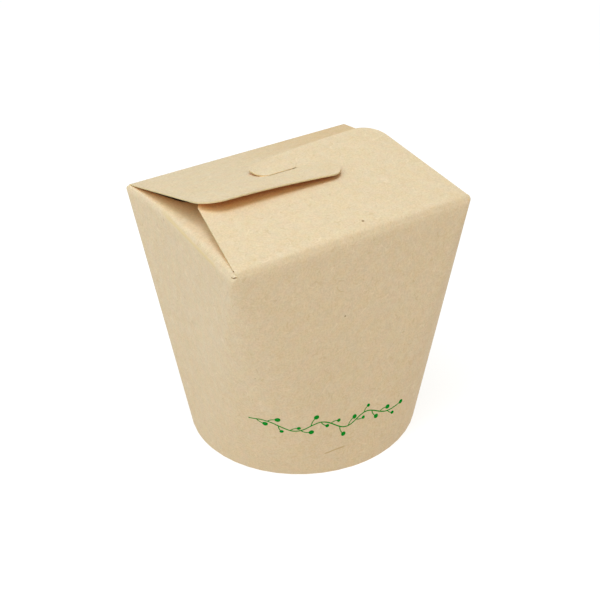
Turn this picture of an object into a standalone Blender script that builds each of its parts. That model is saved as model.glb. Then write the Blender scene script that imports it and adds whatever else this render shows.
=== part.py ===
"""Noodle takeaway box of brown kraft board, shut: a rectangular rim, walls that run down to a round base, dust
flaps folded in at the short sides, and two closure flaps that hook through each other over them.

Metres, +Z up. The origin is the middle of the base, the long folds run along X, and the front wall faces -Y.
The box looks the same turned half round, so the closure flap is made once, at the front, and copied by that
turn. The shut box can't be seen into, so it is solid up to its dust flaps.
"""

import math

import bmesh
import bpy
from mathutils import Matrix, Vector

# Driving dimensions. The rim is where the walls' planes would meet the flaps' planes, with no rounding.
RIM_WIDTH = 0.1006  # along the long folds
RIM_DEPTH = 0.0834
RIM_HEIGHT = 0.0983
BASE_RADIUS = 0.0464
BOARD = 0.0005  # thickness of the board

# Rim and wall
CORNER_RADIUS = 0.0015
LEAST_CORNER_RADIUS = 0.0004
LONG_FOLD_RADIUS = 0.003
SHORT_FOLD_RADIUS = 0.0012  # at both ends of a short fold
SHORT_FOLD_SOFTENING = 0.0018  # added where the short fold is softest
SOFTEST_AT = 0.8  # of the way along the short fold, anticlockwise
SHORT_RIM_BOW = 0.0017  # how far the middle of a short fold is pulled inwards
BOW_LEAN = 0.5  # the pull is stronger towards the end where the fold is sharper
TANGENT_SPREAD = math.radians(8)  # half the arc of the base that one flat side runs down to
SIDE_STEPS = 10
CORNER_STEPS = 12
FOLD_STEPS = 5
LIP = 0.0008  # past its rounding, the long fold goes on this far as the root of the flap
LIP_SINK = 0.00005  # the root lies this much under the flap that it carries
CUFF = 0.0004  # past its rounding, the short fold goes on this far as the root of the dust flap

# Base: the wall's lower hem stands round a base disc that lies a little higher
HEM_WIDTH = 0.002
HEM_HEIGHT = 0.003

# Closure flaps, measured from the fold up the slope (depth) and from the middle along the fold
FLAP_TILT = math.radians(11.9)
FLAP_HALF_FOLD = 0.0491
FLAP_START = 0.0026  # the sheet starts inside the root
FLAP_DEPTH = 0.0551
LONG_SIDE_TAPER = math.radians(5.9)
SHORT_SIDE_TAPER = math.radians(9.1)
LONG_CORNER = 0.010
SHORT_CORNER = 0.0055
RIDGE_DEPTH = RIM_DEPTH / 2 / math.cos(FLAP_TILT)  # where the two flaps cross
SHORT_SIDE_DEPTH = RIDGE_DEPTH - 0.0019
SLIT_DEPTH = RIDGE_DEPTH + 0.0003  # the hook's lower edge just shows above the other flap
SLIT_PAST_MIDDLE = 0.0006
HOOK_REACH = 0.0147
HOOK_TOP_RADIUS = 0.006
HOOK_FOOT_RADIUS = 0.0045
HOOK_DROP = 0.0033  # how far the hook's end bends down towards the other flap
HOOK_DROP_FROM = 0.038  # the bend starts this far along the free edge, on the long side
DROP_POWER_ALONG = 1.7
DROP_POWER_PAST_RIDGE = 1.5
DROP_STEPS = 6
ARC_STEPS = 7

KRAFT = (0.62, 0.46, 0.27, 1.0)
KRAFT_ROUGHNESS = 0.72
SHARP_ANGLE = math.radians(25)

HALF_TURN = Matrix.Rotation(math.pi, 4, "Z")


def clear_scene():
    for thing in list(bpy.data.objects):
        bpy.data.objects.remove(thing, do_unlink=True)


def smooth_step(amount):
    """0 below 0, 1 above 1, and an even S between."""
    amount = min(max(amount, 0.0), 1.0)
    return amount * amount * (3 - 2 * amount)


def mix(first, last, share):
    return first * (1 - share) + last * share


def arc(centre, radius, start, end, steps):
    """Points along an arc in a plane, both ends included."""
    angles = [mix(start, end, step / steps) for step in range(steps + 1)]
    return [(centre[0] + radius * math.cos(a), centre[1] + radius * math.sin(a)) for a in angles]


def long_fold_section():
    """From the wall over a long fold to the root of its flap, as (distance in from the rim, height)."""
    tangent = LONG_FOLD_RADIUS * math.tan((math.pi / 2 - FLAP_TILT) / 2)
    centre = (LONG_FOLD_RADIUS, RIM_HEIGHT - tangent)
    section = arc(centre, LONG_FOLD_RADIUS, math.pi, math.pi / 2 + FLAP_TILT, FOLD_STEPS)
    root = section[-1][0] + LIP
    section.append((root, RIM_HEIGHT + root * math.tan(FLAP_TILT) - LIP_SINK))
    section.append((root, RIM_HEIGHT))
    return section


def short_fold_section(share):
    """The same for a short fold, share of the way along it from 0 to 1. It ends level, as the dust flap does."""
    softening = smooth_step(min(share / SOFTEST_AT, (1 - share) / (1 - SOFTEST_AT)))
    radius = SHORT_FOLD_RADIUS + SHORT_FOLD_SOFTENING * softening
    section = arc((radius, RIM_HEIGHT - radius), radius, math.pi, math.pi / 2, FOLD_STEPS)
    section.append((radius + CUFF, RIM_HEIGHT))
    section.append((radius + 2 * CUFF, RIM_HEIGHT))
    return section


def short_bow(share):
    """How far a short fold is pulled inwards, share of the way along it."""
    place = 2 * share - 1
    return SHORT_RIM_BOW * (1 - place * place) * (1 - BOW_LEAN * place)


def section_of(side, share):
    return long_fold_section() if side % 2 else short_fold_section(share)


def fold_ring(level):
    """The level-th ring of the folds' sections, round the rim anticlockwise from the right side's front end."""
    ring = []
    for side in range(4):
        is_long = side % 2
        turn = side * math.pi / 2
        outward = Vector((math.cos(turn), math.sin(turn)))
        along = Vector((-outward.y, outward.x))
        reach, half_side = (RIM_DEPTH / 2, RIM_WIDTH / 2) if is_long else (RIM_WIDTH / 2, RIM_DEPTH / 2)
        inset_before, _ = section_of(side - 1, 1)[level]
        inset_end, height_end = section_of(side, 1)[level]
        inset_after, height_after = section_of(side + 1, 0)[level]
        radius_before = max(CORNER_RADIUS - inset_before, LEAST_CORNER_RADIUS)
        radius = max(CORNER_RADIUS - inset_end, LEAST_CORNER_RADIUS)
        start = -half_side + inset_before + radius_before
        end = half_side - inset_after - radius
        for step in range(SIDE_STEPS):
            share = step / SIDE_STEPS
            inset, height = section_of(side, share)[level]
            bow = 0 if is_long else short_bow(share)
            place = outward * (reach - inset - bow) + along * mix(start, end, share)
            ring.append((*place, height))
        centre = outward * (reach - inset_end - radius) + along * end
        for step in range(CORNER_STEPS):
            share = step / CORNER_STEPS
            angle = turn + share * math.pi / 2
            place = centre + Vector((math.cos(angle), math.sin(angle))) * radius
            ring.append((*place, mix(height_end, height_after, smooth_step(share))))
    return ring


def base_ring(radius, height):
    """Round the base, point for point under the rim: a flat side of the wall runs down to a short arc."""
    ring = []
    for side in range(4):
        turn = side * math.pi / 2
        side_angles = [mix(-TANGENT_SPREAD, TANGENT_SPREAD, step / SIDE_STEPS) for step in range(SIDE_STEPS)]
        corner_end = math.pi / 2 - TANGENT_SPREAD
        corner_angles = [mix(TANGENT_SPREAD, corner_end, step / CORNER_STEPS) for step in range(CORNER_STEPS)]
        for angle in side_angles + corner_angles:
            ring.append((radius * math.cos(turn + angle), radius * math.sin(turn + angle), height))
    return ring


def object_from(name, mesh_tool):
    """Makes an object of the bmesh, with its faces turned out."""
    bmesh.ops.recalc_face_normals(mesh_tool, faces=mesh_tool.faces)
    mesh = bpy.data.meshes.new(name)
    mesh_tool.to_mesh(mesh)
    mesh_tool.free()
    made = bpy.data.objects.new(name, mesh)
    bpy.context.scene.collection.objects.link(made)
    return made


def body():
    """The filled walls, from the base disc and its hem up to the roots of the flaps."""
    rings = [
        base_ring(BASE_RADIUS - HEM_WIDTH, HEM_HEIGHT),
        base_ring(BASE_RADIUS - HEM_WIDTH, 0),
        base_ring(BASE_RADIUS, 0),
    ]
    rings += [fold_ring(level) for level in range(len(long_fold_section()))]
    mesh_tool = bmesh.new()
    made = [[mesh_tool.verts.new(point) for point in ring] for ring in rings]
    for lower, upper in zip(made, made[1:]):
        for index in range(len(lower)):
            after = (index + 1) % len(lower)
            mesh_tool.faces.new((lower[index], lower[after], upper[after], upper[index]))
    mesh_tool.faces.new(made[0][::-1])
    mesh_tool.faces.new(made[-1])
    return object_from("carton", mesh_tool)


def rounded_corner(corner, before, after, radius):
    """The arc that rounds a corner between its two neighbours."""
    to_before = (Vector(before) - Vector(corner)).normalized()
    to_after = (Vector(after) - Vector(corner)).normalized()
    half = to_before.angle(to_after) / 2
    centre = Vector(corner) + (to_before + to_after).normalized() * radius / math.sin(half)
    first = Vector(corner) + to_before * radius / math.tan(half) - centre
    last = Vector(corner) + to_after * radius / math.tan(half) - centre
    start = math.atan2(first.y, first.x)
    sweep = (math.atan2(last.y, last.x) - start + math.pi) % (2 * math.pi) - math.pi
    return arc(centre, radius, start, start + sweep, ARC_STEPS)


def closure_outline():
    """The front flap laid flat: its long side is on the right, and its hook reaches left past the middle."""

    def long_side(depth):
        return (FLAP_HALF_FOLD - depth * math.tan(LONG_SIDE_TAPER), depth)

    def short_side(depth):
        return (-FLAP_HALF_FOLD + depth * math.tan(SHORT_SIDE_TAPER), depth)

    hook_top = (-HOOK_REACH, FLAP_DEPTH)
    hook_foot = (-HOOK_REACH, SLIT_DEPTH)
    slit_end = (SLIT_PAST_MIDDLE, SLIT_DEPTH)
    slit_foot = (SLIT_PAST_MIDDLE, SHORT_SIDE_DEPTH)
    long_corner = long_side(FLAP_DEPTH)
    short_corner = short_side(SHORT_SIDE_DEPTH)
    start = long_side(FLAP_START)
    end = short_side(FLAP_START)
    return [
        start,
        *rounded_corner(long_corner, start, hook_top, LONG_CORNER),
        *rounded_corner(hook_top, long_corner, hook_foot, HOOK_TOP_RADIUS),
        *rounded_corner(hook_foot, hook_top, slit_end, HOOK_FOOT_RADIUS),
        slit_end,
        slit_foot,
        *rounded_corner(short_corner, slit_foot, end, SHORT_CORNER),
        end,
    ]


def hook_drop(along, depth):
    """How far the board bends down, growing past the ridge and towards the hook's end."""
    towards_hook = max(HOOK_DROP_FROM - along, 0) / (HOOK_DROP_FROM + HOOK_REACH)
    past_ridge = max(depth - RIDGE_DEPTH, 0) / (FLAP_DEPTH - RIDGE_DEPTH)
    return HOOK_DROP * towards_hook**DROP_POWER_ALONG * past_ridge**DROP_POWER_PAST_RIDGE


def closure_flap(name):
    outline = closure_outline()
    mesh_tool = bmesh.new()
    upper = [mesh_tool.verts.new((x, y, 0)) for x, y in outline]
    lower = [mesh_tool.verts.new((x, y, -BOARD)) for x, y in outline]
    mesh_tool.faces.new(upper)
    mesh_tool.faces.new(lower[::-1])
    for index in range(len(outline)):
        after = (index + 1) % len(outline)
        mesh_tool.faces.new((upper[index], lower[index], lower[after], upper[after]))
    cuts = [(Vector((0, 1, 0)), RIDGE_DEPTH, FLAP_DEPTH), (Vector((1, 0, 0)), -HOOK_REACH, HOOK_DROP_FROM)]
    for normal, first, last in cuts:
        for step in range(1, DROP_STEPS):
            place = normal * mix(first, last, step / DROP_STEPS)
            geometry = mesh_tool.verts[:] + mesh_tool.edges[:] + mesh_tool.faces[:]
            bmesh.ops.bisect_plane(mesh_tool, geom=geometry, plane_co=place, plane_no=normal)
    bmesh.ops.triangulate(mesh_tool, faces=mesh_tool.faces)
    for vert in mesh_tool.verts:
        vert.co.z -= hook_drop(vert.co.x, vert.co.y)
    bmesh.ops.rotate(mesh_tool, verts=mesh_tool.verts, matrix=Matrix.Rotation(FLAP_TILT, 3, "X"))
    bmesh.ops.translate(mesh_tool, verts=mesh_tool.verts, vec=(0, -RIM_DEPTH / 2, RIM_HEIGHT))
    return object_from(name, mesh_tool)


def turned_copy(thing, name):
    copy = bpy.data.objects.new(name, thing.data.copy())
    copy.data.transform(HALF_TURN)
    bpy.context.scene.collection.objects.link(copy)
    return copy


def unite(base, parts):
    """Joins the parts into the base as one body, and removes them."""
    group = bpy.data.collections.new("joined")
    bpy.context.scene.collection.children.link(group)
    for part in parts:
        bpy.context.scene.collection.objects.unlink(part)
        group.objects.link(part)
    union = base.modifiers.new("join", "BOOLEAN")
    union.operation = "UNION"
    union.operand_type = "COLLECTION"
    union.collection = group
    evaluated = base.evaluated_get(bpy.context.evaluated_depsgraph_get())
    joined = bpy.data.meshes.new_from_object(evaluated)
    base.modifiers.clear()
    base.data = joined
    for part in parts:
        bpy.data.objects.remove(part, do_unlink=True)
    bpy.data.collections.remove(group)


def kraft_board():
    material = bpy.data.materials.new("kraft_board")
    material.use_nodes = True
    shader = material.node_tree.nodes["Principled BSDF"]
    shader.inputs["Base Color"].default_value = KRAFT
    shader.inputs["Roughness"].default_value = KRAFT_ROUGHNESS
    shader.inputs["Metallic"].default_value = 0.0
    return material


def main():
    clear_scene()
    carton = body()
    front = closure_flap("front_flap")
    unite(carton, [front, turned_copy(front, "back_flap")])
    carton.data.materials.clear()
    carton.data.materials.append(kraft_board())
    carton.data.shade_smooth()
    carton.data.set_sharp_from_angle(angle=SHARP_ANGLE)


main()
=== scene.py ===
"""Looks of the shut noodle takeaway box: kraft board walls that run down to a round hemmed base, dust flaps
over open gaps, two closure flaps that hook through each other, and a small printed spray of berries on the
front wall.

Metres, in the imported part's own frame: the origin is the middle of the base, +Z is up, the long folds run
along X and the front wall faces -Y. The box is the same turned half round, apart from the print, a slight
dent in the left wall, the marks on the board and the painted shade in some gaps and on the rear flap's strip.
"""

import math

import bmesh
import bpy
from mathutils import Matrix, Vector
from mathutils.bvhtree import BVHTree


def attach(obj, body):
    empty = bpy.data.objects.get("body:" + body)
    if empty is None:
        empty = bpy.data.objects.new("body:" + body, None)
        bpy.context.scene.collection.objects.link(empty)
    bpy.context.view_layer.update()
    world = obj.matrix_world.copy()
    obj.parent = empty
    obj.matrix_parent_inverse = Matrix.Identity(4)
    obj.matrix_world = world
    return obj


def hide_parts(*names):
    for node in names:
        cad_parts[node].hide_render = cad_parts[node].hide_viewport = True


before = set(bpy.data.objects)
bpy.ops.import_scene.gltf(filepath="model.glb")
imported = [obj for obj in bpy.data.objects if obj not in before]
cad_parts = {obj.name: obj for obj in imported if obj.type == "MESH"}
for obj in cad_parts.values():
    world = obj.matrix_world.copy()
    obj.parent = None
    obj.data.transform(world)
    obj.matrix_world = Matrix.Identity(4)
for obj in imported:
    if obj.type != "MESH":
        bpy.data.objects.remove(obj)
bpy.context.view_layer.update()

# Rim, walls and base, as in the part
RIM_WIDTH = 0.1006
RIM_DEPTH = 0.0834
RIM_HEIGHT = 0.0983
BASE_RADIUS = 0.0464
BOARD = 0.0005
CORNER_RADIUS = 0.0014
LEAST_CORNER_RADIUS = 0.00025
TANGENT_SPREAD = math.radians(8)
LONG_FOLD_RADIUS = 0.003
SHORT_FOLD_RADII = (0.0012, 0.003)  # from one end of a short fold to the other, anticlockwise
SHORT_RIM_BOW = 0.0017
BOW_LEAN = 0.5
LONG_FOLD_CREASE = 0.85  # how crisp a fold is where it leaves the wall: 0 is round, 1 a straight slope
SHORT_FOLD_CREASE = 0.75
LIP_STEP = 4  # the softer end of a dust fold lies over the corner, with a narrow gap at this step of the fold
LIP_DEPTH = 0.0010

# A slight dent under the left dust fold
DENT_PLACE = (0.0085, 0.0895)  # across (y) and up
DENT_REACH = (0.0026, 0.0042)
DENT_DEPTH = 0.00028
DENT_RIM_SHARE = 0.05

# Dust flaps: how much deeper they get for each metre in from the ends of their fold, and their nose
DUST_SIDE_SLOPE = 0.3
DUST_NOSE = 0.009
DUST_NOSE_HALF_WIDTH = 0.018
DUST_ROWS = 8
WELL_DEPTH = 0.03  # how far down the box is open beside the dust flaps
WELL_FLOOR_SHARE = 0.85  # size of the well's floor, against its mouth

# Hem and base disc, as (distance in from the wall, height)
HEM_RINGS = [(0, 0.0007), (0.00006, 0.00034), (0.0002, 0.0001), (0.00045, 0), (0.00145, 0), (0.0018, 0.00012)]
HEM_RINGS += [(0.00196, 0.0004), (0.002, 0.0008), (0.002, 0.00285), (0.00212, 0.003), (0.0024, 0.003)]
HEM_RINGS += [(0.0031, 0.00318), (0.0042, 0.0033), (0.008, 0.0033)]

# Closure flaps, measured from the fold up the slope (depth) and from the middle along the fold
FLAP_TILT = math.radians(11.9)
FLAP_HALF_FOLD = 0.0491
FLAP_DEPTH = 0.0551
LONG_SIDE_TAPER = math.radians(5.9)
SHORT_SIDE_TAPER = math.radians(9.1)
LONG_CORNER = 0.010
SHORT_CORNER = 0.0055
RIDGE_DEPTH = RIM_DEPTH / 2 / math.cos(FLAP_TILT)
SHORT_SIDE_DEPTH = RIDGE_DEPTH - 0.0019
SLIT_DEPTH = RIDGE_DEPTH + 0.0003
SLIT_PAST_MIDDLE = 0.0006
HOOK_REACH = 0.0147
HOOK_TOP_RADIUS = 0.006
HOOK_FOOT_RADIUS = 0.0045
HOOK_DROP = 0.0033
HOOK_DROP_FROM = 0.038
DROP_POWER_ALONG = 1.7
DROP_POWER_PAST_RIDGE = 1.5

# Mesh fineness
LONG_STEPS = 72
SHORT_STEPS = 90
CORNER_STEPS = 10
FOLD_STEPS = 12
WALL_STEPS = 40
ARC_STEPS = 14
FLAP_ROWS = 44
MERGE = 1e-6
SHARP_ANGLE = math.radians(32)

# A pinhole camera at the photograph's place
CAMERA_PLACE = Vector((-0.199356, -0.330553, 0.287899))
CAMERA_RIGHT = Vector((0.845935, -0.532472, -0.029472))
CAMERA_UP = Vector((0.300852, 0.430871, 0.850787))
LENS = 69.0
SENSOR = 36.0
CAMERA_CLIP = (0.01, 20)


def smooth_step(amount):
    amount = min(max(amount, 0.0), 1.0)
    return amount * amount * (3 - 2 * amount)


def mix(first, last, share):
    return first * (1 - share) + last * share


def arc(centre, radius, start, end, steps):
    angles = [mix(start, end, step / steps) for step in range(steps + 1)]
    return [Vector((centre[0] + radius * math.cos(a), centre[1] + radius * math.sin(a))) for a in angles]


def rounded_corner(corner, before, after, radius, steps):
    """The arc that rounds a corner in a plane, between its two neighbours."""
    corner = Vector(corner)
    to_before = (Vector(before) - corner).normalized()
    to_after = (Vector(after) - corner).normalized()
    half = to_before.angle(to_after) / 2
    centre = corner + (to_before + to_after).normalized() * radius / math.sin(half)
    first = corner + to_before * radius / math.tan(half) - centre
    last = corner + to_after * radius / math.tan(half) - centre
    start = math.atan2(first.y, first.x)
    sweep = (math.atan2(last.y, last.x) - start + math.pi) % (2 * math.pi) - math.pi
    return arc(centre, radius, start, start + sweep, steps)


def side_frame(side):
    """Sides run anticlockwise from the right: outward, along, how far out the rim is, and half its length."""
    turn = side * math.pi / 2
    outward = Vector((round(math.cos(turn)), round(math.sin(turn)), 0))
    along = Vector((-outward.y, outward.x, 0))
    if side % 2:
        return outward, along, RIM_DEPTH / 2, RIM_WIDTH / 2
    return outward, along, RIM_WIDTH / 2, RIM_DEPTH / 2


def short_bow(share):
    place = 2 * share - 1
    return SHORT_RIM_BOW * (1 - place * place) * (1 - BOW_LEAN * place)


def creased(round_fold, crispness):
    """A rounded fold drawn flatter towards its wall, so that it leaves the wall at a crisp crease."""
    section = []
    for step, point in enumerate(round_fold):
        level = step / FOLD_STEPS
        straight = round_fold[0].lerp(round_fold[-1], level)
        section.append(point.lerp(straight, crispness * (1 - level) ** 2))
    return section


def fold_section(side, share, base_inset):
    """From the wall over a fold, as (distance in from the rim, height); the base lies base_inset in."""
    corner = (0, RIM_HEIGHT)
    down = (base_inset, 0)
    if side % 2:
        inwards = (math.cos(FLAP_TILT), RIM_HEIGHT + math.sin(FLAP_TILT))
        return creased(rounded_corner(corner, down, inwards, LONG_FOLD_RADIUS, FOLD_STEPS), LONG_FOLD_CREASE)
    radius = mix(*SHORT_FOLD_RADII, smooth_step(share))
    return creased(rounded_corner(corner, down, (1, RIM_HEIGHT), radius, FOLD_STEPS), SHORT_FOLD_CREASE)


def under_fold_section(base_inset):
    """The corner's own line where it passes under a closure flap's fold: it ends level, at the dust flaps."""
    root = BOARD / math.sin(FLAP_TILT)
    top = fold_section(1, 0, base_inset)[0]
    angles = [step / FOLD_STEPS * math.pi / 2 for step in range(FOLD_STEPS + 1)]
    rise = RIM_HEIGHT - top.y
    return [Vector((mix(top.x, root, 1 - math.cos(a)), top.y + rise * math.sin(a))) for a in angles]


def base_point(angle):
    return Vector((BASE_RADIUS * math.cos(angle), BASE_RADIUS * math.sin(angle), 0))


def side_base(side, share):
    return base_point(side * math.pi / 2 + mix(-TANGENT_SPREAD, TANGENT_SPREAD, share))


def base_inset(side, share):
    """How far in the base lies from a side's rim, which sets the wall's lean; a long side has one lean."""
    outward, _, reach, _ = side_frame(side)
    if side % 2:
        return reach - BASE_RADIUS
    return reach - short_bow(share) - side_base(side, share).dot(outward)


def side_column(side, share):
    """A column's points over its fold, from the wall up, and its base point."""
    outward, along, reach, _ = side_frame(side)
    bow = 0 if side % 2 else short_bow(share)
    section = fold_section(side, share, base_inset(side, share))
    points = []
    for step, (inset, height) in enumerate(section):
        start, end = side_ends(side, step)
        if side % 2:
            start, end = closure_fold_ends(side, step, inset)
        spot = outward * (reach - bow - inset) + along * mix(start, end, share)
        points.append(Vector((spot.x, spot.y, height)))
    return points, side_base(side, share)


def closure_fold_ends(side, step, inset):
    """A closure fold is as wide as the wall at its foot and as the flap at its end."""
    start, end = side_ends(side, 0)
    left, right = flap_width_at(inset / math.cos(FLAP_TILT))
    level = step / FOLD_STEPS
    return mix(start, left, level), mix(end, right, level)


def flap_width_at(depth):
    """Where the sides of a closure flap are at a depth, along its side's own direction."""
    return (
        -FLAP_HALF_FOLD + depth * math.tan(SHORT_SIDE_TAPER),
        FLAP_HALF_FOLD - depth * math.tan(LONG_SIDE_TAPER),
    )


def corner_lines(side):
    """At the corner after a side: the fold lines of that side's end and of the next side's start."""
    before, after = base_inset(side, 1), base_inset(side + 1, 0)
    if side % 2:
        return under_fold_section(before), fold_section(side + 1, 0, after)
    return fold_section(side, 1, before), under_fold_section(after)


def corner_centre(side, step):
    """Centre and radius of the corner after a side, at one step of the folds."""
    outward, along, reach, half = side_frame(side)
    before, after = corner_lines(side)
    radius = max(CORNER_RADIUS - min(before[step].x, after[step].x), LEAST_CORNER_RADIUS)
    centre = outward * (reach - before[step].x - radius) + along * (half - after[step].x - radius)
    return centre, radius


def side_ends(side, step):
    """Where a side starts and ends along its own direction, between its corners, at one step of the folds."""
    _, along, _, _ = side_frame(side)
    return corner_centre(side - 1, step)[0].dot(along), corner_centre(side, step)[0].dot(along)


def with_lip_point(points):
    """A fold's points with the one at the lip twice, to match the corners' columns."""
    return [*points[: LIP_STEP + 1], *points[LIP_STEP:]]


def corner_column(side, share):
    """A column of the corner after a side, share of the way round, with the gap under a dust fold's end."""
    before, after = corner_lines(side)
    angle = (side + share) * math.pi / 2
    outward = Vector((math.cos(angle), math.sin(angle), 0))
    points = []
    for step in range(FOLD_STEPS + 1):
        centre, radius = corner_centre(side, step)
        spot = centre + outward * radius
        height = mix(before[step].y, after[step].y, smooth_step(share))
        points.append(Vector((spot.x, spot.y, height)))
    points = with_lip_point(points)
    if side % 2 == 0:
        points[LIP_STEP] = points[LIP_STEP] - outward * LIP_DEPTH
    spread = mix(TANGENT_SPREAD, math.pi / 2 - TANGENT_SPREAD, share)
    return points, base_point(side * math.pi / 2 + spread)


def wall_point(foot, top, rise):
    """On the wall's straight line from the hem to the fold, apart from the dent in the left wall."""
    point = foot.lerp(top, rise)
    if point.x < 0:
        across = (point.y - DENT_PLACE[0]) / DENT_REACH[0]
        up = (point.z - DENT_PLACE[1]) / DENT_REACH[1]
        fade = smooth_step((1 - rise) / DENT_RIM_SHARE)
        point.x += DENT_DEPTH * math.exp(-across * across - up * up) * fade
    return point


class Builder:
    """Collects faces by their points, and joins equal points when it makes the mesh."""

    def __init__(self):
        self.tool = bmesh.new()

    def face(self, points, cut_edge=False):
        made = self.tool.faces.new([self.tool.verts.new(point) for point in points])
        made.smooth = True
        made.material_index = 1 if cut_edge else 0

    def strip(self, first, second, cut_edge=False):
        """Faces between two rows of points that run the same way."""
        for index in range(len(first) - 1):
            self.face((first[index], first[index + 1], second[index + 1], second[index]), cut_edge)

    def object(self, name):
        bmesh.ops.remove_doubles(self.tool, verts=self.tool.verts, dist=MERGE)
        bmesh.ops.dissolve_degenerate(self.tool, edges=self.tool.edges, dist=MERGE)
        bmesh.ops.recalc_face_normals(self.tool, faces=self.tool.faces)
        mesh = bpy.data.meshes.new(name)
        self.tool.to_mesh(mesh)
        self.tool.free()
        mesh.set_sharp_from_angle(angle=SHARP_ANGLE)
        made = bpy.data.objects.new(name, mesh)
        bpy.context.scene.collection.objects.link(made)
        return made


def flap_outline():
    """A closure flap laid flat, from the end of its fold: long side on the right, hook reaching left."""
    start_depth = flap_start_depth()
    left, right = flap_width_at(start_depth)
    hook_top = (-HOOK_REACH, FLAP_DEPTH)
    hook_foot = (-HOOK_REACH, SLIT_DEPTH)
    slit_end = (SLIT_PAST_MIDDLE, SLIT_DEPTH)
    slit_foot = (SLIT_PAST_MIDDLE, SHORT_SIDE_DEPTH)
    long_corner = (flap_width_at(FLAP_DEPTH)[1], FLAP_DEPTH)
    short_corner = (flap_width_at(SHORT_SIDE_DEPTH)[0], SHORT_SIDE_DEPTH)
    return [
        (right, start_depth),
        *rounded_corner(long_corner, (right, start_depth), hook_top, LONG_CORNER, ARC_STEPS),
        *rounded_corner(hook_top, long_corner, hook_foot, HOOK_TOP_RADIUS, ARC_STEPS),
        *rounded_corner(hook_foot, hook_top, slit_end, HOOK_FOOT_RADIUS, ARC_STEPS),
        slit_end,
        slit_foot,
        *rounded_corner(short_corner, slit_foot, (left, start_depth), SHORT_CORNER, ARC_STEPS),
        (left, start_depth),
    ]


def flap_start_depth():
    base_inset = RIM_DEPTH / 2 - BASE_RADIUS
    return fold_section(1, 0, base_inset)[-1].x / math.cos(FLAP_TILT)


def hook_drop(along, depth):
    towards_hook = max(HOOK_DROP_FROM - along, 0) / (HOOK_DROP_FROM + HOOK_REACH)
    past_ridge = max(depth - RIDGE_DEPTH, 0) / (FLAP_DEPTH - RIDGE_DEPTH)
    return HOOK_DROP * towards_hook**DROP_POWER_ALONG * past_ridge**DROP_POWER_PAST_RIDGE


def flap_point(along, depth, under):
    """Where a point of the flat front flap lies on the shut box; under is how far below the top face."""
    height = -hook_drop(along, depth) - under
    tilted = Matrix.Rotation(FLAP_TILT, 3, "X") @ Vector((along, depth, height))
    return tilted + Vector((0, -RIM_DEPTH / 2, RIM_HEIGHT))


def flat_flap():
    """The flap as a flat grid: faces as lists of (along, depth), its cut edges and its starting depth."""
    tool = bmesh.new()
    tool.faces.new([tool.verts.new((x, y, 0)) for x, y in flap_outline()])
    start = flap_start_depth()
    left, right = flap_width_at(start)
    cuts = [(Vector((1, 0, 0)), mix(left, right, step / LONG_STEPS)) for step in range(1, LONG_STEPS)]
    cuts += [(Vector((0, 1, 0)), mix(start, FLAP_DEPTH, step / FLAP_ROWS)) for step in range(1, FLAP_ROWS)]
    for normal, distance in cuts:
        geometry = tool.verts[:] + tool.edges[:] + tool.faces[:]
        bmesh.ops.bisect_plane(tool, geom=geometry, plane_co=normal * distance, plane_no=normal, dist=MERGE)
    faces = [[vert.co.xy.copy() for vert in face.verts] for face in tool.faces]
    rim = [[vert.co.xy.copy() for vert in edge.verts] for edge in tool.edges if edge.is_boundary]
    tool.free()
    rim = [pair for pair in rim if max(pair[0].y, pair[1].y) > start + MERGE]
    return faces, rim, start


def add_flap(builder, turn):
    faces, rim, start = flat_flap()
    root = RIM_DEPTH / 2 - BOARD / math.sin(FLAP_TILT)

    def upper(place):
        return turn @ flap_point(place.x, place.y, 0)

    def lower(place):
        if place.y < start + MERGE:
            return turn @ Vector((place.x, -root, RIM_HEIGHT))
        return turn @ flap_point(place.x, place.y, BOARD)

    for face in faces:
        builder.face([upper(place) for place in face])
        builder.face([lower(place) for place in reversed(face)])
    for first, second in rim:
        builder.face([upper(first), upper(second), lower(second), lower(first)], cut_edge=True)


def lowered(points, height):
    return [Vector((point.x, point.y, height)) for point in points]


def add_dust_flap(builder, side, fold_end):
    """A dust flap lies level, from the end of its fold inwards: a shallow tongue with a rounded nose."""
    outward, along, _, half = side_frame(side)
    columns = []
    for point in fold_end:
        place = point.dot(along)
        nose = DUST_NOSE * smooth_step(1 - abs(place) / DUST_NOSE_HALF_WIDTH)
        depth = (half - CORNER_RADIUS - abs(place)) * DUST_SIDE_SLOPE + nose
        depth = 0 if point in (fold_end[0], fold_end[-1]) else depth
        columns.append([point - outward * depth * step / DUST_ROWS for step in range(DUST_ROWS + 1)])
    under = [lowered(column, RIM_HEIGHT - BOARD) for column in columns]
    for group in (columns, under):
        for first, second in zip(group, group[1:]):
            builder.strip(first, second)
    builder.strip([column[-1] for column in columns], [column[-1] for column in under], cut_edge=True)


def add_well(builder, loop):
    """The box is open beside the dust flaps: the inner walls lean in from the folds to a low floor."""
    floor = RIM_HEIGHT - WELL_DEPTH
    closed = [*loop, loop[0]]
    for (first, first_side), (second, second_side) in zip(closed, closed[1:]):
        under = lowered((first, second), RIM_HEIGHT - BOARD)
        if first_side is None or first_side != second_side:
            builder.strip((first, second), under)
        builder.strip(under, lowered((first * WELL_FLOOR_SHARE, second * WELL_FLOOR_SHARE), floor))
    builder.face(lowered([point * WELL_FLOOR_SHARE for point, _ in loop], floor))


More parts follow.
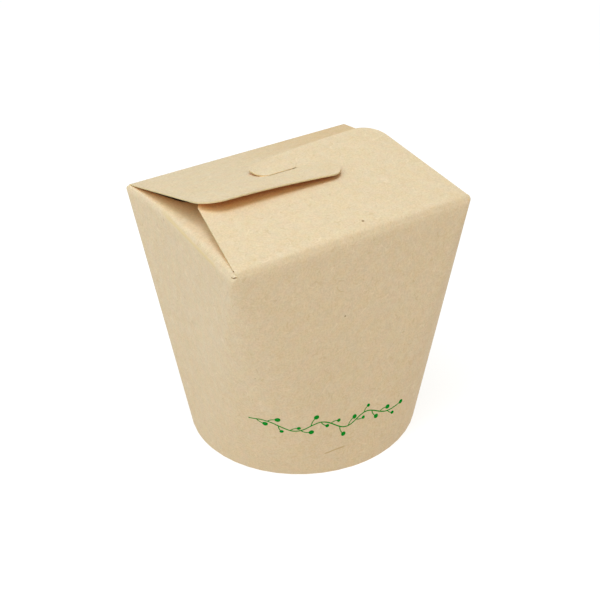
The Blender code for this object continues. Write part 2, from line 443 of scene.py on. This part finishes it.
def carton():
    """The whole board: folds, corners, walls, hem, base, dust flaps over the well, and closure flaps."""
    builder = Builder()
    columns, loop = [], []
    root = RIM_DEPTH / 2 - BOARD / math.sin(FLAP_TILT)
    left, right = flap_width_at(flap_start_depth())
    for side in range(4):
        steps = LONG_STEPS if side % 2 else SHORT_STEPS
        own = [side_column(side, step / steps) for step in range(steps + 1)]
        round_corner = [corner_column(side, step / CORNER_STEPS) for step in range(CORNER_STEPS + 1)]
        for group in (own, round_corner):
            for first, second in zip(group, group[1:]):
                builder.strip(first[0], second[0])
        following = side_column((side + 1) % 4, 0)
        builder.strip(with_lip_point(own[-1][0]), round_corner[0][0], cut_edge=True)
        builder.strip(round_corner[-1][0], with_lip_point(following[0]), cut_edge=True)
        columns += [(points[0], foot) for points, foot in own]
        columns += [(points[0], foot) for points, foot in round_corner[1:-1]]
        if side % 2:
            outward, along, _, _ = side_frame(side)
            places = [mix(left, right, step / LONG_STEPS) for step in range(LONG_STEPS + 1)]
            roots = lowered([outward * root + along * place for place in places], RIM_HEIGHT)
            builder.face((corner_column(side - 1, 1)[0][-1], own[0][0][-1], roots[0]), cut_edge=True)
            builder.face((own[-1][0][-1], round_corner[0][0][-1], roots[-1]), cut_edge=True)
            loop += [(point, None) for point in roots]
        else:
            fold_end = [points[-1] for points, _ in own]
            add_dust_flap(builder, side, fold_end)
            loop += [(point, side) for point in fold_end]
        loop += [(points[-1], None) for points, _ in round_corner]
    loop = [pair for index, pair in enumerate(loop) if distinct(pair, loop[index - 1])]
    rows = []
    for step in range(WALL_STEPS + 1):
        rise = step / WALL_STEPS
        low = HEM_RINGS[0][1]
        rows.append([wall_point(Vector((foot.x, foot.y, low)), top, rise) for top, foot in columns])
    hem = []
    for inset, height in HEM_RINGS:
        share = (BASE_RADIUS - inset) / BASE_RADIUS
        hem.append([Vector((foot.x * share, foot.y * share, height)) for _, foot in columns])
    for lower_row, upper_row in list(zip(rows, rows[1:])) + list(zip(hem[1:], hem)):
        builder.strip([*lower_row, lower_row[0]], [*upper_row, upper_row[0]])
    builder.face(hem[-1])
    add_well(builder, loop)
    for turn in (Matrix.Identity(3), Matrix.Rotation(math.pi, 3, "Z")):
        add_flap(builder, turn)
    return builder.object("carton_board")


def distinct(pair, before):
    """Whether a point of the well's loop is new: in another place, or the first of a dust flap's fold."""
    return (pair[0] - before[0]).length > MERGE or (pair[1] is not None and before[1] is None)


# The printed spray: where it starts and ends round the box, its heights there, its wave, stalks and berries
SPRAY_START, SPRAY_END = math.radians(-144), math.radians(-70)
SPRAY_HEIGHTS = (0.0295, 0.0205)
SPRAY_SAG = 0.0018
SPRAY_WAVES = 3.0
SPRAY_SWING = 0.0023
SWING_AT_ENDS = 0.4
STEM_WIDTH = 0.00045
STEM_POINTS = 240
STALKS = 15
FIRST_STALK = 0.8  # how far along the stem it stands, in spaces between stalks
STEM_SPACES = STALKS + 1.3
STALK_LENGTH = 0.0031
LENGTH_AT_ENDS = 0.72
SMALL_STALK_SHARE = 0.8
STALK_WIDTH = 0.00034
STALK_POINTS = 10
STALK_LEAN = math.radians(58)
STALK_CURL = math.radians(38)
BERRY_RADII = (0.00098, 0.00074)  # large and small
TIP_BERRY_REACH = 0.8  # from the stem's tip to the middle of its berry, in radii
BERRY_RINGS = 3
BERRY_POINTS = 20
PRINT_LIFT = 0.00003
PRINT_DEPTH = 0.00006
WALL_REACH = 0.2  # how far out the rays start that find the wall


def square_to(direction):
    return Vector((-direction.y, direction.x))


def spray_stem(share):
    """A point of the stem and its direction, on the wall laid flat as (distance round the wall, height)."""
    length = (SPRAY_END - SPRAY_START) * BASE_RADIUS

    def spot(at):
        swell = math.sin(math.pi * min(max(at, 0), 1))
        swing = SWING_AT_ENDS + (1 - SWING_AT_ENDS) * swell
        wave = math.sin(2 * math.pi * SPRAY_WAVES * at) * SPRAY_SWING * swing
        return Vector((at * length, mix(*SPRAY_HEIGHTS, at) + wave - SPRAY_SAG * swell))

    step = 1 / STEM_POINTS
    return spot(share), (spot(share + step) - spot(share - step)).normalized()


def is_small(index):
    """Stalks and their berries come as two large ones and two small ones in turn."""
    return index % 4 > 1


def spray_stalk(index):
    """One stalk as (point, direction) pairs, curling along the stem from its edge to a berry."""
    side = 1 if index % 2 else -1
    share = (index + FIRST_STALK) / STEM_SPACES
    point, direction = spray_stem(share)
    point = point + square_to(direction) * side * STEM_WIDTH / 2
    swell = LENGTH_AT_ENDS + (1 - LENGTH_AT_ENDS) * math.sin(math.pi * share)
    length = STALK_LENGTH * swell * (SMALL_STALK_SHARE if is_small(index) else 1.0)
    line = []
    for step in range(STALK_POINTS + 1):
        lean = side * (STALK_LEAN - STALK_CURL * step / STALK_POINTS)
        heading = Matrix.Rotation(lean, 2) @ direction
        line.append((point, heading))
        point = point + heading * length / STALK_POINTS
    return line


def spray_print(wall):
    """A plain spray of round berries on a waving stem, as thin shapes that hug the front wall."""
    tree = BVHTree.FromPolygons([v.co for v in wall.data.vertices], [p.vertices for p in wall.data.polygons])
    tool = bmesh.new()

    def on_wall(flat):
        angle = SPRAY_START + flat.x / BASE_RADIUS
        outward = Vector((math.cos(angle), math.sin(angle), 0))
        start = outward * WALL_REACH + Vector((0, 0, flat.y))
        place, normal, _, _ = tree.ray_cast(start, -outward)
        return tool.verts.new(place + normal * PRINT_LIFT)

    def stroke(line, width):
        rows = []
        for point, direction in line:
            off = square_to(direction) * width / 2
            rows.append((on_wall(point - off), on_wall(point + off)))
        for first, second in zip(rows, rows[1:]):
            tool.faces.new((first[0], second[0], second[1], first[1]))

    def berry(centre, radius):
        middle = on_wall(centre)
        turns = [2 * math.pi * step / BERRY_POINTS for step in range(BERRY_POINTS)]
        spokes = [Vector((math.cos(turn), math.sin(turn))) * radius / BERRY_RINGS for turn in turns]
        rings = [[on_wall(centre + spoke * (ring + 1)) for spoke in spokes] for ring in range(BERRY_RINGS)]
        for index in range(BERRY_POINTS):
            tool.faces.new((middle, rings[0][index - 1], rings[0][index]))
            for inner, outer in zip(rings, rings[1:]):
                tool.faces.new((inner[index - 1], outer[index - 1], outer[index], inner[index]))

    stroke([spray_stem(step / STEM_POINTS) for step in range(STEM_POINTS + 1)], STEM_WIDTH)
    tip, direction = spray_stem(1)
    berry(tip + direction * BERRY_RADII[0] * TIP_BERRY_REACH, BERRY_RADII[0])
    for index in range(STALKS):
        line = spray_stalk(index)
        radius = BERRY_RADII[is_small(index)]
        stroke(line, STALK_WIDTH)
        berry(line[-1][0] + line[-1][1] * radius, radius)
    bmesh.ops.recalc_face_normals(tool, faces=tool.faces)
    mesh = bpy.data.meshes.new("berry_print")
    tool.to_mesh(mesh)
    tool.free()
    made = bpy.data.objects.new("berry_print", mesh)
    bpy.context.scene.collection.objects.link(made)
    thicken = made.modifiers.new("thickness", "SOLIDIFY")
    thicken.thickness = PRINT_DEPTH
    thicken.offset = -1
    return made


# Ink, its patches as (scale, detail), and the noise values between which it thins
INK = (0.0, 0.215, 0.012)
THIN_INK = (0.004, 0.27, 0.024)
INK_NOISE = (1600.0, 2.0)
INK_THINS = (0.35, 0.7)
INK_ROUGHNESS = 0.8
INK_GLOSS = 0.05

# Kraft board as (light tone, dark tone, roughness)
KRAFT_FACE = ((0.742, 0.584, 0.391), (0.655, 0.504, 0.323), 0.65)
KRAFT_CUT_EDGE = ((0.73, 0.59, 0.34), (0.64, 0.50, 0.27), 0.75)
BOARD_GLOSS = 0.25
BUMP_STRENGTH = 0.08
BUMP_DEPTH = 0.0002

# Its noises as (scale, detail, roughness), the weights that make its tone, and the noise values between which
# its tone and its hue change
CLOUD_NOISE = (45.0, 2.0)
MOTTLE_NOISE = (300.0, 3.0, 0.6)
GRAIN_NOISE = (1500.0, 2.0, 0.65)
HUE_NOISE = (330.0, 5.0, 0.75)
YELLOW_NOISE = (240.0, 5.0, 0.75)
NOISE_ROUGHNESS = 0.55
NOISE_MIDDLE = 0.5
HUE_OFFSET = (7, 3, 5)
YELLOW_OFFSET = (1, 8, 2)
CLOUD_WEIGHT = 0.08
MOTTLE_WEIGHT = 0.26
GRAIN_WEIGHT = 0.66
TONE_CHANGES = (0.34, 0.66)
HUE_CHANGES = (0.36, 0.64)
ROSY = (1.014, 0.984, 1.005)
GREENISH = (0.988, 1.014, 1.06)
YELLOW_TINT = (1.0, 1.0, 0.93)
PALE_SHARE = (1.10, 1.13, 1.20)
BROWN_SHARE = (0.84, 0.76, 0.62)
# The speck tone is also the colour of the painted shadows in gaps
SPECK_AND_GAP_SHADE_SHARE = (0.45, 0.36, 0.28)

# How open a place is, as ambient occlusion, and between which values of it colour is painted for light and
# shade: painted warm bounce light where a place is partly sheltered, painted dark shade deep in creases and
# gaps; and the tints for these
SHELTER_REACH = 0.012
SHELTER_SAMPLES = 8
PAINTED_WARM_BOUNCE_SHELTER = (0.2, 0.8)
PAINTED_CREASE_SHADE_SHELTER = (0.0, 0.25)
PAINTED_WARM_BOUNCE_TINT = (1.27, 1.12, 0.90)
PAINTED_CREASE_SHADE_TINT = (0.62, 0.30, 0.10)

# Tints low on the walls, and painted shade on the strip of the rear flap that shows behind the front one,
# where the front flap overhangs it
BASE_TINT = (0.985, 0.968, 0.935)
BASE_TINT_HEIGHTS = (0.0, 0.07)
PAINTED_STRIP_SHADE_TINT = (0.98, 0.90, 0.79)
STRIP_ACROSS = (-0.025, 0.042)
STRIP_FROM_FRONT = (0.022, 0.027)
STRIP_FROM_WALL = (0.0965, 0.0990)
STRIP_UP_TO_FLAP = (0.1025, 0.1040)

# How soft marks are: the full part of a spot, a streak or a speck, the lengths from a streak's middle between
# which it fades out, and how a wisp fades
SPOT_CORE = 0.4
STREAK_CORE = 0.3
STREAK_ENDS = (0.36, 0.56)
SPECK_CORE = 0.5
WISP_FADE = 0.05
WISP_STRETCHES = 2.3  # how much finer the noise is that breaks wisps up

# Loose fibres as (scale, offset, half width, least, tone, strength), specks as (scale, size, share, offset)
WISPS = [
    (150.0, (2, 9, 4), 0.00011, 0.56, "brown", 0.35),
    (190.0, (8, 1, 6), 0.00012, 0.56, "pale", 0.50),
    (240.0, (5, 5, 1), 0.00009, 0.58, "brown", 0.35),
]
SPECKS = [(190.0, 0.00028, 0.10, (3, 1, 2)), (70.0, 0.00036, 0.05, (1, 5, 2))]
SPECK_STRENGTH = 0.5

# Marks that this box has: specks as (place, radius, strength), fibres as (ends, bend, half width, strength)
DARK_SPECKS = [
    ((0.0051, -0.0367, 0.0993), 0.00066, 1.0),
    ((-0.0071, -0.0431, 0.0676), 0.00052, 0.8),
    ((-0.0485, 0.0128, 0.0948), 0.0006, 0.4),
]
BROWN_FIBRES = [
    ((-0.0180, -0.0439, 0.0101), (-0.0092, -0.0456, 0.0114), -0.0003, 0.00044, 1.0),
    ((-0.0101, -0.0424, 0.0807), (-0.0070, -0.0426, 0.0777), 0.0008, 0.00032, 0.5),
]
PALE_FIBRES = [
    ((-0.0125, -0.0419, 0.0910), (-0.0134, -0.0420, 0.0893), 0.00006, 0.00024, 0.35),
    ((-0.0107, -0.0420, 0.0888), (-0.0124, -0.0421, 0.0873), 0.00006, 0.00028, 0.6),
    ((0.0022, -0.0431, 0.0679), (-0.0007, -0.0432, 0.0660), 0.0002, 0.00028, 0.55),
    ((-0.0027, -0.0434, 0.0600), (-0.0032, -0.0435, 0.0589), 0.00005, 0.00022, 0.35),
]

# Lines as the fibres are: a yellowish one along the left dust fold's crease, then painted shadows along the
# hook's slit and under that fold's softer end, where the gaps are in shade; a gap's painted shadow also has
# the way that its face looks, None for straight out
FOLD_LINE = ((-0.0480, 0.0140, 0.0975), (-0.0498, -0.0300, 0.0950), 0.0004, 0.0010, 0.7)
FOLD_LINE_SHARE = (0.94, 0.90, 0.70)
PAINTED_GAP_SHADOWS = [
    ((-0.0114, -0.0001, 0.1071), (0.0010, -0.0002, 0.1071), 0.00005, 0.00046, 0.9, (0, 0, 1)),
    ((-0.0505, -0.0401, 0.0963), (-0.0483, -0.0414, 0.0968), 0.00003, 0.00024, 0.9, None),
]

# A mix node's sockets for colours
COLOUR_A = 6
COLOUR_B = 7
COLOUR_RESULT = 2


class Nodes:
    """Short words for building a material's node tree. Sources are sockets, numbers or colours."""

    def __init__(self, material):
        material.use_nodes = True
        self.tree = material.node_tree
        self.shader = self.tree.nodes["Principled BSDF"]
        self.place = self.tree.nodes.new("ShaderNodeTexCoord").outputs["Object"]

    def feed(self, socket, source):
        if isinstance(source, bpy.types.NodeSocket):
            self.tree.links.new(source, socket)
        else:
            socket.default_value = source

    def math(self, operation, *sources):
        made = self.tree.nodes.new("ShaderNodeMath")
        made.operation = operation
        for socket, source in zip(made.inputs, sources):
            self.feed(socket, source)
        return made.outputs[0]

    def noise(self, scale, detail, roughness=NOISE_ROUGHNESS, vector=None):
        made = self.tree.nodes.new("ShaderNodeTexNoise")
        self.feed(made.inputs["Vector"], vector or self.place)
        made.inputs["Scale"].default_value = scale
        made.inputs["Detail"].default_value = detail
        made.inputs["Roughness"].default_value = roughness
        return made.outputs["Fac"]

    def ramp(self, source, low, high, low_value=0.0, high_value=1.0):
        made = self.tree.nodes.new("ShaderNodeMapRange")
        made.interpolation_type = "SMOOTHSTEP"
        limits = {"From Min": low, "From Max": high, "To Min": low_value, "To Max": high_value}
        for name, value in limits.items():
            made.inputs[name].default_value = value
        self.feed(made.inputs["Value"], source)
        return made.outputs["Result"]

    def mix(self, share, first, second):
        made = self.tree.nodes.new("ShaderNodeMix")
        made.data_type = "RGBA"
        self.feed(made.inputs["Factor"], share)
        self.feed(made.inputs[COLOUR_A], first)
        self.feed(made.inputs[COLOUR_B], second)
        return made.outputs[COLOUR_RESULT]

    def marked(self, colour, mark, strength, tone):
        """A colour with a mark of another tone on it."""
        return self.mix(self.math("MULTIPLY", mark, strength), colour, tone)

    def vector_math(self, operation, vector, output=0):
        made = self.tree.nodes.new("ShaderNodeVectorMath")
        made.operation = operation
        self.feed(made.inputs[0], self.place)
        made.inputs[1].default_value = vector
        return made.outputs[output]

    def distance(self, spot):
        return self.vector_math("DISTANCE", spot, "Value")

    def spot(self, place, radius):
        """One round speck at a place."""
        return self.ramp(self.distance(place), radius * SPOT_CORE, radius, 1.0, 0.0)

    def streak(self, first, last, bend, half_width, facing=None):
        """One bent line between two places on a face; bend is how far its middle is off the straight line."""
        first, last = Vector(first), Vector(last)
        middle, length = (first + last) / 2, (last - first).length
        across = (last - first).cross(Vector(facing or (middle.x, middle.y, 0))).normalized()
        radius = (length * length / 4 + bend * bend) / (2 * abs(bend))
        centre = middle - across * math.copysign(radius - abs(bend), bend)
        off = self.math("ABSOLUTE", self.math("SUBTRACT", self.distance(centre), radius))
        ends = [length * share for share in STREAK_ENDS]
        near = self.ramp(self.distance(middle), *ends, 1.0, 0.0)
        return self.math("MULTIPLY", near, self.ramp(off, half_width * STREAK_CORE, half_width, 1.0, 0.0))

    def wisps(self, scale, offset, half_width, least):
        """Thin curved fibres: where a smooth noise passes its middle value, kept in short stretches."""
        place = self.vector_math("ADD", offset)
        off = self.math("ABSOLUTE", self.math("SUBTRACT", self.noise(scale, 0.0, vector=place), NOISE_MIDDLE))
        line = self.ramp(off, 0.0, half_width * scale, 1.0, 0.0)
        stretch = self.noise(scale * WISP_STRETCHES, 0.0, vector=place)
        return self.math("MULTIPLY", line, self.ramp(stretch, least, least + WISP_FADE))

    def specks(self, scale, size, share, offset):
        """Round specks of a size, in a share of the cells of a grid."""
        made = self.tree.nodes.new("ShaderNodeTexVoronoi")
        self.feed(made.inputs["Vector"], self.vector_math("ADD", offset))
        made.inputs["Scale"].default_value = scale
        near = self.ramp(made.outputs["Distance"], size * scale * SPECK_CORE, size * scale, 1.0, 0.0)
        split = self.tree.nodes.new("ShaderNodeSeparateColor")
        self.feed(split.inputs[0], made.outputs["Color"])
        return self.math("MULTIPLY", near, self.math("LESS_THAN", split.outputs[0], share))

    def painted_shade_occlusion(self, reach):
        """How open a place is, from 0 deep in a crease to 1 on a free face, for painting shade and bounce
        light into the colour.
        """
        made = self.tree.nodes.new("ShaderNodeAmbientOcclusion")
        made.only_local = True
        made.samples = SHELTER_SAMPLES
        made.inputs["Distance"].default_value = reach
        return made.outputs["AO"]

    def tinted(self, share, colour, tint):
        made = self.tree.nodes.new("ShaderNodeMix")
        made.data_type = "RGBA"
        made.blend_type = "MULTIPLY"
        made.clamp_result = True
        self.feed(made.inputs["Factor"], share)
        self.feed(made.inputs[COLOUR_A], colour)
        made.inputs[COLOUR_B].default_value = (*tint, 1)
        return made.outputs[COLOUR_RESULT]

    def place_parts(self):
        split = self.tree.nodes.new("ShaderNodeSeparateXYZ")
        self.feed(split.inputs[0], self.place)
        return split.outputs

    def rear_strip_painted_shade(self):
        """Where shade is painted on the strip of the rear flap that shows behind the front one, under its
        overhang; the painted shade deepens to the right.
        """
        across, back, up = self.place_parts()
        share = self.ramp(across, *STRIP_ACROSS)
        share = self.math("MULTIPLY", share, self.ramp(back, *STRIP_FROM_FRONT))
        share = self.math("MULTIPLY", share, self.ramp(up, *STRIP_FROM_WALL))
        return self.math("MULTIPLY", share, self.ramp(up, *STRIP_UP_TO_FLAP, 1.0, 0.0))


def scaled(colour, share):
    return (*(min(value * part, 1.0) for value, part in zip(colour, share)), 1)


def kraft_material(name, light, dark, roughness):
    """Uncoated kraft board: fine grain, mottled tone and hue, thin curved fibres, specks, and painted light
    and shade: shadows in gaps, shade on the rear strip, warm bounce light where sheltered, dark shade in
    creases.
    """
    material = bpy.data.materials.new(name)
    nodes = Nodes(material)
    cloud = nodes.noise(*CLOUD_NOISE)
    mottle = nodes.noise(*MOTTLE_NOISE)
    grain = nodes.noise(*GRAIN_NOISE)
    shade = nodes.math("MULTIPLY_ADD", cloud, CLOUD_WEIGHT, nodes.math("MULTIPLY", mottle, MOTTLE_WEIGHT))
    shade = nodes.math("MULTIPLY_ADD", grain, GRAIN_WEIGHT, shade)
    hue = nodes.ramp(nodes.noise(*HUE_NOISE, nodes.vector_math("ADD", HUE_OFFSET)), *HUE_CHANGES)
    shade_share = nodes.ramp(shade, *TONE_CHANGES)
    rosy = nodes.mix(shade_share, scaled(dark, ROSY), scaled(light, ROSY))
    greenish = nodes.mix(shade_share, scaled(dark, GREENISH), scaled(light, GREENISH))
    colour = nodes.mix(hue, rosy, greenish)
    yellow = nodes.ramp(nodes.noise(*YELLOW_NOISE, nodes.vector_math("ADD", YELLOW_OFFSET)), *HUE_CHANGES)
    colour = nodes.tinted(yellow, colour, YELLOW_TINT)

    pale, brown, speck_and_gap_shade = scaled(light, PALE_SHARE), scaled(dark, BROWN_SHARE), scaled(dark, SPECK_AND_GAP_SHADE_SHARE)
    for *fibres, tone, strength in WISPS:
        colour = nodes.marked(colour, nodes.wisps(*fibres), strength, pale if tone == "pale" else brown)
    for specks in SPECKS:
        colour = nodes.marked(colour, nodes.specks(*specks), SPECK_STRENGTH, speck_and_gap_shade)
    for fibres, tone in ((BROWN_FIBRES, brown), (PALE_FIBRES, pale)):
        for *line, strength in fibres:
            colour = nodes.marked(colour, nodes.streak(*line), strength, tone)
    for place, radius, strength in DARK_SPECKS:
        colour = nodes.marked(colour, nodes.spot(place, radius), strength, speck_and_gap_shade)

    *line, strength = FOLD_LINE
    colour = nodes.marked(colour, nodes.streak(*line), strength, scaled(light, FOLD_LINE_SHARE))
    # Painted shadows: dark colour along the hook's slit and under the left dust fold's softer end, where the
    # gaps are in shade
    for *line, strength, facing in PAINTED_GAP_SHADOWS:
        colour = nodes.marked(colour, nodes.streak(*line, facing), strength, speck_and_gap_shade)
    # Painted shade on the rear flap's strip, which the front flap overhangs
    colour = nodes.tinted(nodes.rear_strip_painted_shade(), colour, PAINTED_STRIP_SHADE_TINT)
    colour = nodes.tinted(nodes.ramp(nodes.place_parts()[2], *BASE_TINT_HEIGHTS, 1.0, 0.0), colour, BASE_TINT)
    # Painted warm bounce light where a place is partly sheltered, then painted dark shade deep in creases
    painted_shade_occlusion = nodes.painted_shade_occlusion(SHELTER_REACH)
    colour = nodes.tinted(nodes.ramp(painted_shade_occlusion, *PAINTED_WARM_BOUNCE_SHELTER, 1.0, 0.0), colour, PAINTED_WARM_BOUNCE_TINT)
    colour = nodes.tinted(nodes.ramp(painted_shade_occlusion, *PAINTED_CREASE_SHADE_SHELTER, 1.0, 0.0), colour, PAINTED_CREASE_SHADE_TINT)
    nodes.feed(nodes.shader.inputs["Base Color"], colour)

    bump = nodes.tree.nodes.new("ShaderNodeBump")
    bump.inputs["Strength"].default_value = BUMP_STRENGTH
    bump.inputs["Distance"].default_value = BUMP_DEPTH
    nodes.feed(bump.inputs["Height"], shade)
    nodes.feed(nodes.shader.inputs["Normal"], bump.outputs["Normal"])
    nodes.shader.inputs["Roughness"].default_value = roughness
    nodes.shader.inputs["Specular IOR Level"].default_value = BOARD_GLOSS
    return material


def ink_material():
    """Matt green ink that lies a little unevenly on the board."""
    material = bpy.data.materials.new("green_ink")
    nodes = Nodes(material)
    patchy = nodes.ramp(nodes.noise(*INK_NOISE), *INK_THINS)
    nodes.feed(nodes.shader.inputs["Base Color"], nodes.mix(patchy, (*INK, 1), (*THIN_INK, 1)))
    nodes.shader.inputs["Roughness"].default_value = INK_ROUGHNESS
    nodes.shader.inputs["Specular IOR Level"].default_value = INK_GLOSS
    return material


# Light levels are the red, green and blue that each light alone gives a white surface that faces it
LIGHT_AIM = Vector((0, 0, 0.06))
WORLD_LEVEL = (0.363, 0.368, 0.342)
FLOOR_LEVEL = (0.864, 0.860, 0.853)
FLOOR_GREY = 0.20
FLOOR_ROUGHNESS = 0.9
FLOOR_HALF_SIZE = 4
FLOOR_DROP = 0.0001
SOFTBOXES = {
    "top_softbox": ((-0.12, -0.15, 1.0), 0.4, (0.437, 0.490, 0.560)),
    "front_softbox": ((0.0, -0.6, 0.85), 0.5, (0.128, 0.095, 0.028)),
    "left_softbox": ((-0.6, 0.0, 0.8), 0.7, (0.353, 0.412, 0.432)),
}


def softbox(name, place, size, level):
    light = bpy.data.lights.new(name, "AREA")
    light.shape = "SQUARE"
    light.size = size
    aim = LIGHT_AIM - Vector(place)
    light.energy = max(level) * math.pi**2 * aim.length_squared
    light.color = [value / max(level) for value in level]
    made = bpy.data.objects.new(name, light)
    made.location = place
    made.rotation_euler = aim.to_track_quat("-Z", "Y").to_euler()
    bpy.context.scene.collection.objects.link(made)


def studio():
    world = bpy.data.worlds.new("studio")
    world.use_nodes = True
    background = world.node_tree.nodes["Background"]
    background.inputs["Color"].default_value = (*WORLD_LEVEL, 1)
    background.inputs["Strength"].default_value = 1.0
    bpy.context.scene.world = world
    for name, (place, size, level) in SOFTBOXES.items():
        softbox(name, place, size, level)

    floor_mesh = bpy.data.meshes.new("floor")
    corners = [(x * FLOOR_HALF_SIZE, y * FLOOR_HALF_SIZE, 0) for x, y in ((-1, -1), (1, -1), (1, 1), (-1, 1))]
    floor_mesh.from_pydata(corners, [], [(0, 1, 2, 3)])
    floor = bpy.data.objects.new("floor", floor_mesh)
    bpy.context.scene.collection.objects.link(floor)
    paper = bpy.data.materials.new("studio_floor")
    paper.use_nodes = True
    shader = paper.node_tree.nodes["Principled BSDF"]
    shader.inputs["Base Color"].default_value = (FLOOR_GREY, FLOOR_GREY, FLOOR_GREY, 1)
    shader.inputs["Roughness"].default_value = FLOOR_ROUGHNESS
    shader.inputs["Emission Color"].default_value = (*FLOOR_LEVEL, 1)
    shader.inputs["Emission Strength"].default_value = 1.0
    floor.data.materials.append(paper)
    floor.location.z = -FLOOR_DROP


def camera():
    data = bpy.data.cameras.new("camera")
    data.lens = LENS
    data.sensor_width = SENSOR
    data.clip_start, data.clip_end = CAMERA_CLIP
    made = bpy.data.objects.new("camera", data)
    back = CAMERA_RIGHT.cross(CAMERA_UP)
    turn = Matrix((CAMERA_RIGHT, CAMERA_UP, back)).transposed().to_4x4()
    made.matrix_world = Matrix.Translation(CAMERA_PLACE) @ turn
    bpy.context.scene.collection.objects.link(made)
    bpy.context.scene.camera = made


board = carton()
board.data.materials.append(kraft_material("kraft_face", *KRAFT_FACE))
board.data.materials.append(kraft_material("kraft_cut_edge", *KRAFT_CUT_EDGE))
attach(board, "root")
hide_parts("carton")

spray = spray_print(board)
spray.data.materials.append(ink_material())
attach(spray, "root")

studio()
camera()
bpy.context.scene.view_settings.view_transform = "Standard"
